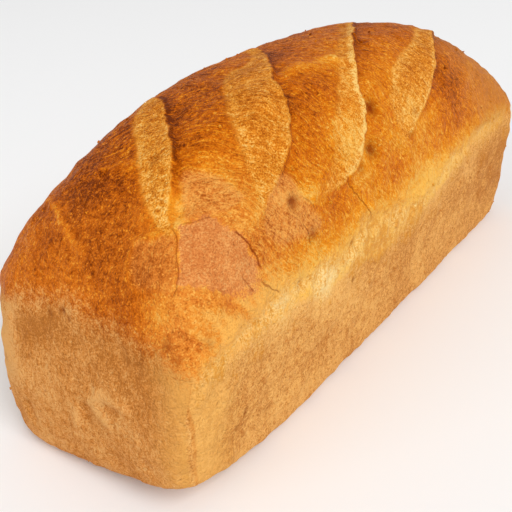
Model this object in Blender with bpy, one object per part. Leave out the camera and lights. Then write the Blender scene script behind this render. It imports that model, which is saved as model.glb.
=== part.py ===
"""A white loaf of bread baked in an open tin: straight pale walls below, and above them a tall domed
crust with five slanting slashes across it. Z is up, X runs along the loaf, and the loaf stands on
its flat base at the origin."""

import bmesh
import bpy
import numpy as np

# Driving sizes, in metres. The rim is where the tin ended and the free crust begins.
RIM_LENGTH = 0.2952
RIM_WIDTH = 0.1095
WALL_HEIGHT = 0.0603
DOME_RISE = 0.0689
NEAR_END_SPLAY = 0.0059  # how far the -X end stands out at the base
FAR_END_DRAFT = 0.0022  # how far the +X end draws in at the base
SIDE_DRAFT = 0.0053
END_BELLY = 0.0029  # how far each end bows out at half its height
BASE_ROUNDING = 0.0074

# Corners, as radii in plan: the one at -X, -Y filled the tin best, so its upright edge is sharpest.
SHARP_CORNER = 0.0115
SOFT_CORNER = 0.0218

# The dough never filled the tin's bottom corners, so the base lifts towards each of them.
SHARP_CORNER_LIFT = 0.0128
SOFT_CORNER_LIFT = 0.0006
LIFT_REACH_ALONG = 0.0727
LIFT_REACH_ACROSS = 0.0954

# The dome falls from its crest to the rim as (1 - level)^(1 / fullness). Level grows as a power of
# the distance along and across, and its contours are rounded oblongs, rounder towards the crest.
ALONG_POWER = 2.933
ACROSS_POWER = 2.808
FULLNESS = 1.592
CREST_SQUARENESS = 1.17
SQUARENESS_GROWTH = 3.965
TALLER_AT_NEAR_END = 0.073
TALLER_AT_NEAR_SIDE = 0.049
LOWER_AT_BOTH_ENDS = -0.003

# The slashes. Each ridge line is middle + slant * turn + bend * turn^2, where turn goes across the
# dome from -1 at one rim over 0 on top to 1 at the other.
SLASHES = (
    # (middle, slant, bend, widest, ridge height, far turn, near turn)
    (-0.134, 0.032, 0.000, 0.012, 0.0008, 0.55, -0.02),
    (-0.086, 0.067, -0.068, 0.021, 0.0018, 0.58, -0.42),
    (-0.022, 0.047, -0.096, 0.034, 0.0018, 0.60, -0.64),
    (0.050, 0.144, 0.032, 0.027, 0.0018, 0.45, -0.74),
    (0.140, 0.172, 0.000, 0.030, 0.0015, 0.00, -0.78),
)
VALLEY_PER_RIDGE = 1.2
VALLEY_WIDTH = 0.013

# How finely the skin is faceted.
STEPS_ALONG = 64
STEPS_ACROSS = 28
STEPS_OF_WALL = 6
STEPS_OF_ROUNDING = 3

CRUST_COLOUR = (0.53, 0.20, 0.035, 1.0)
CRUST_ROUGHNESS = 0.55


def clear_scene():
    for thing in list(bpy.data.objects):
        bpy.data.objects.remove(thing, do_unlink=True)


def crust_material():
    material = bpy.data.materials.new("baked_crust")
    material.use_nodes = True
    shader = material.node_tree.nodes["Principled BSDF"]
    shader.inputs["Base Color"].default_value = CRUST_COLOUR
    shader.inputs["Roughness"].default_value = CRUST_ROUGHNESS
    shader.inputs["Metallic"].default_value = 0.0
    return material


def grid_block():
    """A cube whose faces are cut into the grid that the loaf's skin is drawn on."""
    grid = bmesh.new()
    bmesh.ops.create_cube(grid, size=2.0)
    steps = (STEPS_ALONG, STEPS_ACROSS, STEPS_OF_WALL + STEPS_OF_ROUNDING)
    for axis, count in enumerate(steps):
        along = [
            edge
            for edge in grid.edges
            if abs(edge.verts[0].co[axis] - edge.verts[1].co[axis]) > 1.0
        ]
        bmesh.ops.subdivide_edges(grid, edges=along, cuts=count - 1, use_grid_fill=True)
    return grid


def corner_powers(x, y):
    """The powers, along and across, whose oblong |x|^a + |y|^b = 1 has the corner's radius."""
    radius = np.where((x < 0) & (y < 0), SHARP_CORNER, SOFT_CORNER)
    half_deficit = (1.0 - 0.5**0.5) * radius
    return np.log(2.0) * RIM_LENGTH / 2 / half_deficit, np.log(2.0) * RIM_WIDTH / 2 / half_deficit


def contour(part_x, part_y, power_x, power_y):
    """The size of the rounded oblong that passes through a point, found by halving."""
    low = np.full(part_x.shape, 1e-6)
    high = np.full(part_x.shape, 2.5)
    for _ in range(30):
        middle = (low + high) / 2
        outside = (part_x / middle) ** power_x(middle) + (part_y / middle) ** power_y(middle) > 1.0
        low = np.where(outside, middle, low)
        high = np.where(outside, high, middle)
    return (low + high) / 2


def rounded_plan(u, v):
    """Moves a point of the unit square onto the rim's rounded oblong."""
    reach = np.maximum(np.maximum(np.abs(u), np.abs(v)), 1e-9)
    power_x, power_y = corner_powers(u, v)
    size = contour(np.abs(u) / reach, np.abs(v) / reach, lambda _: power_x, lambda _: power_y)
    return u / size * RIM_LENGTH / 2, v / size * RIM_WIDTH / 2


def dome_level(x, y):
    """0 on the crest and 1 at the rim, with contours that grow squarer towards the rim."""
    power_x, power_y = corner_powers(x, y)
    more_x = power_x / ALONG_POWER - CREST_SQUARENESS
    more_y = power_y / ACROSS_POWER - CREST_SQUARENESS
    return contour(
        np.abs(x / (RIM_LENGTH / 2)) ** ALONG_POWER,
        np.abs(y / (RIM_WIDTH / 2)) ** ACROSS_POWER,
        lambda size: CREST_SQUARENESS + more_x * np.minimum(size, 1.0) ** SQUARENESS_GROWTH,
        lambda size: CREST_SQUARENESS + more_y * np.minimum(size, 1.0) ** SQUARENESS_GROWTH,
    )


def corner_lift(x, y):
    """How far the base stands clear of the ground near each corner."""
    lift = np.zeros_like(x)
    for end in (-1, 1):
        for side in (-1, 1):
            highest = SHARP_CORNER_LIFT if end < 0 and side < 0 else SOFT_CORNER_LIFT
            away_along = (x - end * RIM_LENGTH / 2) / LIFT_REACH_ALONG
            away_across = (y - side * RIM_WIDTH / 2) / LIFT_REACH_ACROSS
            away = np.hypot(away_along, away_across)
            lift += highest * np.clip(1.0 - away, 0.0, 1.0) ** 2
    return lift


def wall_spread(x, height):
    """How many times as long and as wide as the rim the walls are at a height."""
    below_rim = 1.0 - height / WALL_HEIGHT
    end_lean = np.where(x < 0, NEAR_END_SPLAY, -FAR_END_DRAFT) * below_rim
    end_lean += END_BELLY * np.sin(np.pi * below_rim)
    return 1.0 + end_lean / (RIM_LENGTH / 2), 1.0 - SIDE_DRAFT * below_rim / (RIM_WIDTH / 2)


def wall_points(u, v, climb):
    """Points on the walls, climb 0 at the base's edge to 1 at the rim."""
    rounding = STEPS_OF_ROUNDING / (STEPS_OF_WALL + STEPS_OF_ROUNDING)
    turn = np.clip(climb / rounding, 0.0, 1.0) * np.pi / 2
    rise = np.clip((climb - rounding) / (1.0 - rounding), 0.0, 1.0)
    height = BASE_ROUNDING * (1.0 - np.cos(turn)) + (WALL_HEIGHT - BASE_ROUNDING) * rise
    inset = BASE_ROUNDING * (1.0 - np.sin(turn))
    x, y = rounded_plan(u, v)
    spread_x, spread_y = wall_spread(x, height)
    lift = corner_lift(x, y) * (1.0 - rise)
    x = x * (spread_x - inset / (RIM_LENGTH / 2))
    y = y * (spread_y - inset / (RIM_WIDTH / 2))
    return np.stack([x, y, height + lift], axis=-1)


def base_points(u, v):
    """Points on the underside: flat, but lifting towards the corners."""
    edge = wall_points(u, v, np.zeros_like(u))
    return np.stack([edge[:, 0], edge[:, 1], corner_lift(*rounded_plan(u, v))], axis=-1)


def dome_points(u, v):
    """Points on the free crust, with u along and v across, each from -1 to 1."""
    x, y = rounded_plan(u, v)
    fall = np.clip(1.0 - dome_level(x, y), 0.0, 1.0) ** (1.0 / FULLNESS)
    part_x = x / (RIM_LENGTH / 2)
    part_y = y / (RIM_WIDTH / 2)
    lean = 1.0 - TALLER_AT_NEAR_END * part_x - TALLER_AT_NEAR_SIDE * part_y
    lean -= LOWER_AT_BOTH_ENDS * (part_x**2 - 0.3)
    return np.stack([x, y, WALL_HEIGHT + DOME_RISE * fall * lean], axis=-1)


def slash_relief(x, turn):
    """Height of the slashes over the dome: each swells gently up to a ridge on its +X side, then
    drops into a narrow valley."""
    relief = np.zeros_like(x)
    for middle, slant, bend, widest, ridge, far, near in SLASHES:
        along = np.clip((far - turn) / (far - near), 0.0, 1.0)
        lens = np.sin(np.pi * along) ** 0.6
        beyond = x - (middle + slant * turn + bend * turn**2)
        band = np.clip(1.0 + beyond / (widest * np.maximum(lens, 0.05)), 0.0, 1.0) ** 1.5
        fall = np.clip(beyond / VALLEY_WIDTH, 0.0, 1.0)
        drop = np.clip(1.0 - 3.0 * fall, 0.0, 1.0)
        valley = drop - VALLEY_PER_RIDGE * 1.5 * np.sin(np.pi * fall) * (1.0 - fall)
        relief += ridge * lens * np.where(beyond <= 0.0, band, valley)
    return relief


def crust_points(u, v):
    """The dome with its slashes raised along its own normal."""
    step = 1e-4
    points = dome_points(u, v)
    tangent_u = dome_points(np.clip(u + step, -1, 1), v) - dome_points(np.clip(u - step, -1, 1), v)
    tangent_v = dome_points(u, np.clip(v + step, -1, 1)) - dome_points(u, np.clip(v - step, -1, 1))
    normal = np.cross(tangent_u, tangent_v)
    normal /= np.linalg.norm(normal, axis=-1, keepdims=True) + 1e-12
    inside = np.clip((1.0 - np.maximum(np.abs(u), np.abs(v))) / 0.08, 0.0, 1.0)
    turn = np.arcsin(np.clip(v, -1.0, 1.0)) * 2.0 / np.pi
    relief = slash_relief(points[..., 0], turn) * inside
    return points + normal * relief[..., None]


def loaf_skin(cube_points):
    """Carries each point of the cube's surface onto the loaf."""
    tx, ty, tz = cube_points.T
    u = np.sin(tx * np.pi / 2)
    v = np.sin(ty * np.pi / 2)
    top = tz > 0.9999
    bottom = tz < -0.9999
    climb = (tz + 1.0) / 2.0
    skin = wall_points(u, v, climb)
    skin[top] = crust_points(u[top], v[top])
    skin[bottom] = base_points(u[bottom], v[bottom])
    return skin


def stand_on_origin(points):
    """Puts the middle of the bounding box over the origin and its lowest point on the ground."""
    low, high = points.min(axis=0), points.max(axis=0)
    points -= np.array([(low[0] + high[0]) / 2, (low[1] + high[1]) / 2, low[2]])


def make_loaf(collection):
    grid = grid_block()
    mesh = bpy.data.meshes.new("loaf")
    grid.to_mesh(mesh)
    grid.free()
    flat = np.empty(len(mesh.vertices) * 3)
    mesh.vertices.foreach_get("co", flat)
    skin = loaf_skin(flat.reshape(-1, 3))
    stand_on_origin(skin)
    mesh.vertices.foreach_set("co", skin.ravel())
    mesh.shade_smooth()
    mesh.materials.append(crust_material())
    loaf = bpy.data.objects.new("loaf", mesh)
    collection.objects.link(loaf)
    return loaf


def main():
    clear_scene()
    collection = bpy.data.collections.new("tin_loaf")
    bpy.context.scene.collection.children.link(collection)
    make_loaf(collection)


main()
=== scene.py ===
"""A white loaf baked in an open tin, with a slashed and browned crust, the crumbs that cling to it,
and a plain pale studio. Sizes inside the form functions are in millimetres; meshes are in metres."""

import functools
import math

import bpy
import numpy as np
from mathutils import Matrix, Vector


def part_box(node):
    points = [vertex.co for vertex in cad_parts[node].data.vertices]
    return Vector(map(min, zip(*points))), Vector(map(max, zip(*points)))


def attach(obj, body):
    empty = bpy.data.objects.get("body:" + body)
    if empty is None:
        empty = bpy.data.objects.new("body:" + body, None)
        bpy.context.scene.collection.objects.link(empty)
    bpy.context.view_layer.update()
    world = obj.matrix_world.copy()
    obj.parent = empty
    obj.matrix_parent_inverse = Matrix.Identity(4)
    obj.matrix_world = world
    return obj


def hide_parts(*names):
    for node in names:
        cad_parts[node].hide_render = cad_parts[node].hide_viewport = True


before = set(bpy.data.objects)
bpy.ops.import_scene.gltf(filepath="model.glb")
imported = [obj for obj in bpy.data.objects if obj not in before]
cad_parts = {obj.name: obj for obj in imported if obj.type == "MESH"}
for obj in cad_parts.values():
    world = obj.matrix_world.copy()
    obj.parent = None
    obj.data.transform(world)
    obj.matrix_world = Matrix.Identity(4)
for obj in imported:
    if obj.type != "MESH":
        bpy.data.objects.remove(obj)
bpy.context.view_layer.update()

bl_info = {
    "name": "Tin loaf",
    "version": (1, 0, 0),
    "blender": (4, 5, 0),
    "location": "View3D > Sidebar > Tin loaf",
    "description": "Builds a white tin loaf with a slashed crust, its crumbs and a plain studio",
    "category": "Add Mesh",
}

LOAF_LOW, LOAF_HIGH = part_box("loaf")
MM = 0.001

# The form, in millimetres, the same as the solid's. The rim is where the tin ended.
RIM_LENGTH = 295.2
RIM_WIDTH = (LOAF_HIGH.y - LOAF_LOW.y) / MM
WALL_HEIGHT = 60.3
DOME_RISE = 68.9
NEAR_END_SPLAY = 5.9
FAR_END_DRAFT = 2.2
SIDE_DRAFT = 5.3
END_BELLY = 2.9
BASE_ROUNDING = 7.4
SHARP_CORNER = 11.5
SOFT_CORNER = 21.8
SHARP_CORNER_LIFT = 12.8
SOFT_CORNER_LIFT = 0.6
LIFT_REACH_ALONG = 72.7
LIFT_REACH_ACROSS = 95.4
ALONG_POWER = 2.933
ACROSS_POWER = 2.808
FULLNESS = 1.592
CREST_SQUARENESS = 1.17
SQUARENESS_GROWTH = 3.965
TALLER_AT_NEAR_END = 0.073
TALLER_AT_NEAR_SIDE = 0.049
LOWER_AT_BOTH_ENDS = -0.003
HALF_LENGTH = RIM_LENGTH / 2
HALF_WIDTH = RIM_WIDTH / 2

# Places on the dome are (turn, x): turn goes from -1 at the -Y rim over 0 on top to 1 at the +Y
# rim, and x is in millimetres from the middle of the loaf.
# Each slash: its ridge line, its soft border, how high its ridge stands beside the others, how much
# paler it is inside, and how bright the painted highlight along its ridge is.
SLASHES = (
    (((0.50, -68), (0.30, -70), (0.16, -76), (0.04, -85), (-0.07, -94), (-0.15, -101), (-0.22, -108),
      (-0.30, -117), (-0.39, -125)),
     ((0.50, -68), (0.40, -70), (0.30, -75), (0.23, -85), (0.16, -93), (0.07, -101), (-0.03, -109),
      (-0.13, -117), (-0.24, -123), (-0.39, -127)), 0.8, 0.95, 0.55),
    (((0.40, -6), (0.20, -12), (0.02, -22), (-0.13, -38), (-0.25, -49), (-0.36, -54), (-0.48, -64),
      (-0.57, -77), (-0.63, -93)),
     ((0.40, -10), (0.20, -18), (0.05, -30), (0.01, -40), (0.02, -48), (-0.05, -60), (-0.16, -71),
      (-0.28, -81), (-0.44, -89), (-0.63, -95)), 1.0, 0.7, 0.5),
    (((0.42, 110), (0.20, 78), (-0.11, 31), (-0.30, 5), (-0.41, -6), (-0.48, -13), (-0.58, -18),
      (-0.64, -24), (-0.71, -38), (-0.73, -62)),
     ((0.42, 98), (0.20, 60), (-0.13, 16), (-0.24, -1), (-0.36, -16), (-0.45, -26), (-0.56, -40),
      (-0.65, -50), (-0.73, -64)), 1.0, 0.5, 1.4),
    (((0.05, 140), (-0.20, 102), (-0.35, 75), (-0.46, 61), (-0.55, 48), (-0.66, 27), (-0.73, 10)),
     ((0.05, 126), (-0.20, 80), (-0.34, 53), (-0.43, 25), (-0.52, 10), (-0.61, 5), (-0.73, 8)),
     0.8, 0.8, 0.8),
)

# Scars: a slash that closed again, and stretch lines. Points, width in millimetres, and how much
# paler (or, if negative, browner) they are than the crust round them.
SCARS = (
    (((0.50, -119), (0.30, -126), (0.12, -133), (-0.02, -137)), 1.8, 0.30),
    (((-0.17, -50), (-0.21, -40), (-0.24, -27), (-0.27, -12), (-0.29, -2)), 3.2, 0.30),
    (((-0.12, -104), (-0.03, -108), (0.10, -112), (0.21, -116)), 2.6, 0.14),
    (((-0.52, -88), (-0.62, -96), (-0.66, -106)), 3.5, 0.22),
    (((-0.70, -58), (-0.68, -71), (-0.65, -82), (-0.63, -92)), 3.0, 0.30),
    (((-0.60, -8), (-0.74, 6), (-0.84, 18)), 3.0, 0.10),
    (((-0.70, 62), (-0.62, 82), (-0.50, 104)), 4.0, 0.10),
    (((-0.80, -112), (-0.86, -121), (-0.91, -130)), 1.5, 0.14),
    (((-0.84, -103), (-0.90, -112), (-0.93, -121)), 1.3, 0.12),
    (((-0.86, -92), (-0.90, -84), (-0.93, -74)), 1.3, 0.12),
    (((-0.78, -118), (-0.84, -129), (-0.87, -138)), 1.5, -0.14),
    (((-0.55, -139), (-0.68, -138), (-0.80, -134)), 2.2, 0.10),
    (((-0.36, -124), (-0.27, -128), (-0.22, -132), (-0.26, -138), (-0.38, -140)), 1.4, 0.16),
    (((-0.36, -121), (-0.42, -122), (-0.48, -127), (-0.52, -131)), 2.2, 0.45),
    (((-0.70, -134), (-0.80, -130), (-0.89, -124), (-0.97, -121)), 1.7, 0.32),
    (((-0.45, -143), (-0.55, -143), (-0.66, -142), (-0.78, -140), (-0.88, -134)), 1.8, -0.20),
    (((-0.81, -124), (-0.88, -118), (-0.95, -113)), 1.5, -0.20),
    (((-0.74, -131), (-0.85, -125), (-0.93, -117)), 1.2, 0.18),
    (((-0.58, -137), (-0.71, -135), (-0.84, -130), (-0.93, -126)), 1.3, 0.26),
    (((-0.60, -135), (-0.74, -132), (-0.87, -127)), 1.0, -0.16),
    (((-0.80, -121), (-0.88, -115), (-0.96, -108)), 1.4, 0.22),
    (((-0.64, -141), (-0.78, -138), (-0.88, -133)), 1.2, 0.20),
)

# Parts of the crust where its skin is thin, pinker and paler: an outline, and how strongly it shows.
THIN_SKINS = (
    (((-0.39, -124), (-0.32, -127), (-0.24, -129), (-0.22, -131), (-0.24, -135), (-0.30, -139),
      (-0.44, -138), (-0.52, -137), (-0.51, -131), (-0.44, -127)), 0.60),
    (((-0.26, -108), (-0.30, -103), (-0.38, -99), (-0.48, -98), (-0.56, -97), (-0.56, -104),
      (-0.52, -111), (-0.45, -117), (-0.41, -120), (-0.33, -115)), 0.75),
    (((-0.57, -83), (-0.59, -74), (-0.67, -71), (-0.78, -65), (-0.80, -70), (-0.80, -79),
      (-0.75, -96), (-0.67, -98), (-0.61, -91)), 0.80),
    (((-0.12, -53), (-0.14, -45), (-0.23, -46), (-0.31, -57), (-0.32, -67), (-0.24, -68)), 0.35),
)

# The patch where a thin sheet of crust has peeled off, above the sharp corner.
PEELED_PATCH = ((-0.40, -121), (-0.43, -119), (-0.45, -115), (-0.50, -111), (-0.58, -111), (-0.63, -108),
                (-0.71, -107), (-0.79, -105), (-0.83, -111), (-0.82, -117), (-0.77, -124), (-0.69, -129),
                (-0.59, -133), (-0.54, -134), (-0.49, -130), (-0.43, -125))

# Cracks: points along each, and how wide it gapes in millimetres.
CRACKS = (
    (((0.21, -112), (0.06, -115), (-0.06, -118), (-0.12, -118)), 0.5),
    (((-0.17, -116), (-0.28, -118)), 0.35),
    (((-0.67, -72), (-0.73, -67)), 0.4),
    (((-0.70, -44), (-0.77, -39), (-0.83, -34), (-0.91, -29)), 0.6),
    (((-0.76, -76), (-0.83, -75)), 0.6),
    (((-0.32, 54), (-0.38, 57)), 0.6),
    (((-0.61, -109), (-0.66, -108), (-0.72, -106), (-0.76, -105), (-0.80, -105)), 0.8),
    (((-0.77, -114), (-0.81, -113), (-0.83, -111)), 0.5),
    (((-0.82, -106), (-0.86, -103), (-0.89, -98)), 0.6),
    (((-0.36, -123), (-0.41, -125), (-0.46, -129), (-0.51, -132), (-0.54, -135), (-0.52, -138)), 0.5),
    (((-0.40, -121), (-0.44, -118), (-0.46, -115), (-0.51, -111)), 0.45),
    (((0.35, 40), (0.46, 34), (0.55, 36)), 0.5),
    (((0.66, -90), (0.74, -84), (0.80, -86)), 0.5),
)

# Pits and blisters on the dome: turn, x, radius, depth (a blister has a negative one), and darkness,
# the painted shade of the hollow.
PITS = (
    (-0.55, -8, 3.6, 1.2, 1.0), (-0.68, -19, 3.4, 1.1, 1.0), (-0.71, -29, 2.8, 0.7, 0.7),
    (-0.40, -2, 1.8, 0.6, 0.6), (-0.24, 23, 1.8, 0.6, 1.0), (-0.68, -78, 2.2, 0.8, 1.0),
    (-0.80, -73, 2.4, 0.7, 0.7), (-0.65, 22, 1.8, 0.6, 0.6), (-0.71, 13, 1.8, 0.5, 0.5),
    (-0.10, -106, 2.4, 0.8, 0.35), (-0.32, -63, 4.5, -0.9, 0.0), (0.09, -132, 1.6, 0.5, 0.7),
    (-0.83, -136, 2.0, 0.4, 0.4), (-0.93, -47, 1.1, 0.5, 0.7), (-0.92, -85, 1.3, 0.5, 0.8),
    (0.30, 60, 3.0, 0.8, 0.6), (0.62, -20, 3.2, 0.9, 0.7), (0.70, 84, 2.6, 0.8, 0.7),
    (0.48, 20, 2.2, 0.6, 0.6),
)

# Pits and knocks on the walls: which wall, the place along it, height, radius, depth, and darkness,
# the painted shade of the hollow.
WALL_PITS = (
    ("near end", 6, 69, 1.2, 0.6, 1.0), ("near end", 3, 67, 1.0, 0.5, 0.8),
    ("near end", 13, 66, 1.1, 0.4, 0.6), ("near end", 24, 46, 0.9, 0.3, 0.5),
    ("near end", 40, 39, 1.2, 0.3, 0.5), ("near end", -22, 74, 4.0, 0.3, 0.30),
    ("near end", -42, 71, 2.2, 0.5, 0.6), ("near end", -46, 67, 1.8, 0.4, 0.4),
    ("near end", -9, 34, 8.0, 0.6, 0.0), ("near end", -34, 24, 2.0, 0.4, 0.2),
    ("near side", -120, 31, 1.3, 0.6, 0.8), ("near side", -125, 27, 1.1, 0.5, 0.6),
    ("near side", -44, 47, 1.2, 0.6, 0.7), ("near side", -104, 20, 2.6, 0.4, 0.3),
    ("near side", -60, 30, 3.0, 0.4, 0.2), ("near side", 30, 30, 3.0, 0.4, 0.3),
    ("far side", 70, 40, 2.0, 0.7, 0.5), ("far side", -30, 25, 1.6, 0.6, 0.5),
    ("far end", 14, 40, 2.6, 0.7, 0.4),
)

# Folds that the tin pressed into the near end: points of (y, height), width, rise, paler by.
FOLDS = (
    (((-5, 37), (-9, 40), (-13, 43), (-19, 43.5), (-24, 43), (-27, 41)), 2.2, 1.1, 0.37),
    (((-1, 35), (0, 30), (-1, 26)), 2.0, 0.9, 0.32),
    (((-6, 37), (-5, 32), (-7, 27)), 1.9, -0.9, -0.27),
    (((-10, 39), (-11, 36), (-15, 34), (-19, 35)), 2.0, 0.9, 0.32),
    (((-14, 40), (-18, 39), (-22, 40)), 1.7, -0.9, -0.27),
    (((30, 25), (28, 19), (25, 15)), 2.4, -1.1, -0.37),
    (((-26, 57), (-35, 52), (-44, 46)), 2.0, -0.5, -0.11),
    (((-30, 56), (-38, 50), (-46, 42)), 2.0, 0.5, 0.11),
)

# Broad browner (positive) and paler parts of the walls and of the ledge: x, y, z, reach, amount.
WALL_HEAT = (
    (-111, -54, 40, 18, 0.08), (-84, -54, 42, 14, 0.12), (-46, -54, 37, 12, -0.30), (0, -54, 38, 22, 0.14),
    (55, -54, 40, 20, 0.08), (105, -54, 46, 26, 0.38), (-95, -54, 18, 18, -0.12), (-128, -52, 26, 10, 0.20),
    (-67, -54, 57, 9, -0.75), (95, -54, 67, 12, -0.18), (-27, -54, 58, 13, 0.52),
    (-95, -54, 62, 9, -0.40), (33, -54, 58, 16, -0.10),
    (130, -54, 30, 20, 0.20), (-148, 13, 62, 9, 0.55), (-148, 27, 54, 8, 0.50),
    (-148, 20, 68, 5, -0.45), (-148, 34, 62, 5, -0.40), (-148, -31, 54, 13, 0.40),
    (-150, -53, 46, 12, 0.10), (-143, -53, 65, 5, 0.45), (-146, -26, 76, 9, 0.15),
    (-146, 44, 42, 14, -1.00), (-150, -13, 38, 9, -0.25), (-149, 14, 30, 16, -0.20),
    (-149, -38, 22, 14, -0.10),
)

# How browned the free crust is at each turn, 0 pale to 1 dark, and what one oven's uneven heat and
# the stretching add round a place: turn, x, reach in millimetres, browner or paler by how much.
BROWNING = ((-1.0, 0.02), (-0.94, 0.04), (-0.89, 0.10), (-0.85, 0.22), (-0.80, 0.38), (-0.65, 0.42),
            (-0.50, 0.50), (-0.38, 0.58), (-0.20, 0.68), (0.0, 0.74), (0.35, 0.74), (0.60, 0.58),
            (0.78, 0.46), (0.86, 0.30), (0.93, 0.12), (1.0, 0.06))
HEAT = (
    (-0.42, -96, 15, -0.20), (0.18, -116, 16, 0.16), (0.17, -100, 12, 0.16), (-0.72, -96, 9, 0.14),
    (-0.10, -66, 16, 0.10), (-0.30, -92, 8, 0.06), (0.12, -134, 18, 0.12), (-0.15, -135, 12, 0.16),
    (-0.50, 60, 22, 0.12), (-0.68, 62, 20, 0.22), (-0.60, 95, 24, 0.16), (-0.86, -8, 18, 0.10),
    (-0.45, 18, 14, -0.06), (-0.45, -42, 14, 0.15), (-0.58, -62, 10, 0.08), (-0.79, -57, 12, 0.14),
    (-0.79, -128, 11, -0.08), (-0.49, -142, 9, -0.32), (-0.33, -99, 9, -0.10), (0.45, 80, 30, -0.10),
    (0.50, -40, 30, 0.06), (-0.32, -118, 9, -0.50), (0.02, -96, 10, -0.12), (-0.12, -104, 9, -0.14),
    (-0.63, -32, 13, -0.42), (-0.40, -6, 12, -0.18), (-0.64, 20, 10, -0.42), (-0.20, 0, 12, -0.10),
    (-0.62, -143, 9, 0.04), (-0.52, -90, 8, 0.12), (-0.76, -138, 10, -0.12),
    (-0.87, -101, 9, -0.16), (0.06, -131, 10, -0.06),
)

# Round each wall, from distance along it: how high the tin-held wall reaches, and, on the long
# sides, how high the ledge of pale, torn dough above it reaches before the free crust starts.
WALL_ON_SIDE = ((-148, 60), (-132, 62), (-112, 61), (-85, 58), (-64, 54), (-48, 52), (-4, 51), (20, 54),
                (36, 56), (56, 63), (75, 66), (122, 65), (148, 64))
LEDGE_ON_SIDE = ((-148, 62), (-132, 66), (-112, 68), (-85, 70), (-62, 67), (-48, 67), (-34, 71), (-20, 71),
                 (-3, 65), (13, 61), (36, 64), (56, 68), (75, 70), (122, 69), (148, 67))
WALL_ON_END = ((-55, 60), (-45, 65), (-37, 68), (-19, 71), (5, 71), (38, 67), (55, 64))

# What each point of the skin carries for the crust's material.
MARKS = ("bake", "stretch", "above", "ledge", "opening", "paleness", "lip", "valley", "patch",
         "crack_side", "crack_show", "scorch", "corner", "endwall", "wallheat", "dust", "thin")

# A distance in millimetres that stands for "nowhere near", for lines and patches that fade within it.
FAR_OFF = 60.0

# Which way the dough stretches on the flat sheet, and the way across it.
STRETCH = (0.56, -0.83)
CROSS_STRETCH = (0.83, 0.56)

# The crust's patterns: which place each reads, the size of its features in millimetres along each
# axis of that place, its detail and its roughness. The dough stretches along lay's first axis. Real
# crust has finer grain still, too fine to show, so the finest here is about 0.6 mm.
PATTERNS = {
    "streak": ("lay", (11.0, 1.3, 1.3), 3.0, 0.6),
    "dash": ("lay", (2.7, 0.62, 0.62), 1.0, 0.5),
    "rubbed": ("place", (1.6, 1.6, 8.0), 2.0, 0.6),
    "blotch": ("place", (17.0, 17.0, 17.0), 3.0, 0.55),
    "speck": ("place", (2.2, 2.2, 2.2), 2.0, 0.6),
    "fleck": ("place", (1.05, 1.05, 1.05), 1.0, 0.5),
    "grain": ("place", (0.65, 0.65, 0.65), 2.0, 0.65),
}

# The camera, in metres and degrees.
CAMERA_AIM = (-0.0240, 0.0104, 0.0316)
CAMERA_DISTANCE = 0.3842
CAMERA_HEADING = 52.45
CAMERA_ELEVATION = 29.21
CAMERA_ROLL = -3.68
SENSOR = 36.0
LENS = 56.04

# Each light: its place and its edge, in metres. Both point at the loaf's middle.
KEY_LIGHT = ((-1.7, -4.6, 4.8), 3.6)
FILL_LIGHT = ((-4.0, 0.9, 1.8), 2.8)
LOAF_MIDDLE = (0.0, 0.0, 0.05)

# The skin's grid: rows round the base's edge, and how many steps of the dome's grid make one step
# of the grid under the base.
ROUNDING_ROWS = 8
BASE_STEP = 8

# Where crumbs cling, by height in millimetres: everywhere over the rim, less on the walls, most
# where the base curves in, and none under it. Then their random seed.
CRUMB_RIM = 62.0
CRUMB_BASE = (2.5, 7.0)
CRUMB_SHARES = {"crust": 1.0, "wall": 0.25, "base": 3.0}
CRUMB_SEED = 41


# ---------------------------------------------------------------- colours and nodes


def linear(code):
    """An sRGB hex colour such as 'E2A04B' as the linear red, green, blue and alpha."""
    parts = [int(code[i:i + 2], 16) / 255 for i in (0, 2, 4)]
    return tuple(p / 12.92 if p <= 0.04045 else ((p + 0.055) / 1.055) ** 2.4 for p in parts) + (1.0,)


def add(tree, kind, sockets=None, stops=None, out=None, **settings):
    """Adds one node with its settings, its links and fixed values, and a ramp's colours at even steps,
    and gives the output that is named, or the first live one."""
    made = tree.nodes.new("ShaderNode" + kind)
    for name, value in settings.items():
        setattr(made, name, value)
    if stops:
        elements = made.color_ramp.elements
        for place in range(1, len(stops) - 1):
            elements.new(place / (len(stops) - 1))
        for element, tone in zip(elements, stops):
            element.color = tone
    for key, value in (sockets or {}).items():
        live = [s for s in made.inputs if s.enabled and s.name == key] if isinstance(key, str) else None
        socket = live[0] if live else made.inputs[key]
        if isinstance(value, bpy.types.NodeSocket):
            tree.links.new(value, socket)
        else:
            socket.default_value = value
    return made.outputs[out] if out else next(output for output in made.outputs if output.enabled)


# ---------------------------------------------------------------- noise and lines


def lattice_noise(points, seed):
    """Smooth noise from -1 to 1. Each whole-numbered lattice point has a hashed height, and between
    them the height blends along every axis by 3t^2 - 2t^3."""
    cell = np.floor(points).astype(np.int64)
    part = points - cell
    ease = part * part * (3.0 - 2.0 * part)
    total = np.zeros(len(points))
    for corner in range(8):
        step = np.array([(corner >> axis) & 1 for axis in range(3)])
        key = ((cell + step) * np.array([73856093, 19349663, 83492791])).astype(np.uint64)
        mixed = key[:, 0] ^ key[:, 1] ^ key[:, 2] ^ np.uint64(seed * 668265263)
        mixed = (mixed ^ (mixed >> np.uint64(13))) * np.uint64(1274126177)
        mixed = (mixed ^ (mixed >> np.uint64(16))) * np.uint64(2246822519)
        height = ((mixed >> np.uint64(8)) & np.uint64(65535)).astype(float) / 32767.5 - 1.0
        weight = np.prod(np.where(step == 1, ease, 1.0 - ease), axis=1)
        total += weight * height
    return total


def roughness_of(points, size, octaves, seed):
    """A sum of noises, each half as coarse and half as high as the one before."""
    total = np.zeros(len(points))
    for octave in range(octaves):
        total += lattice_noise(points / size * 2.0**octave, seed + octave) * 0.5**octave
    return total


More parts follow.
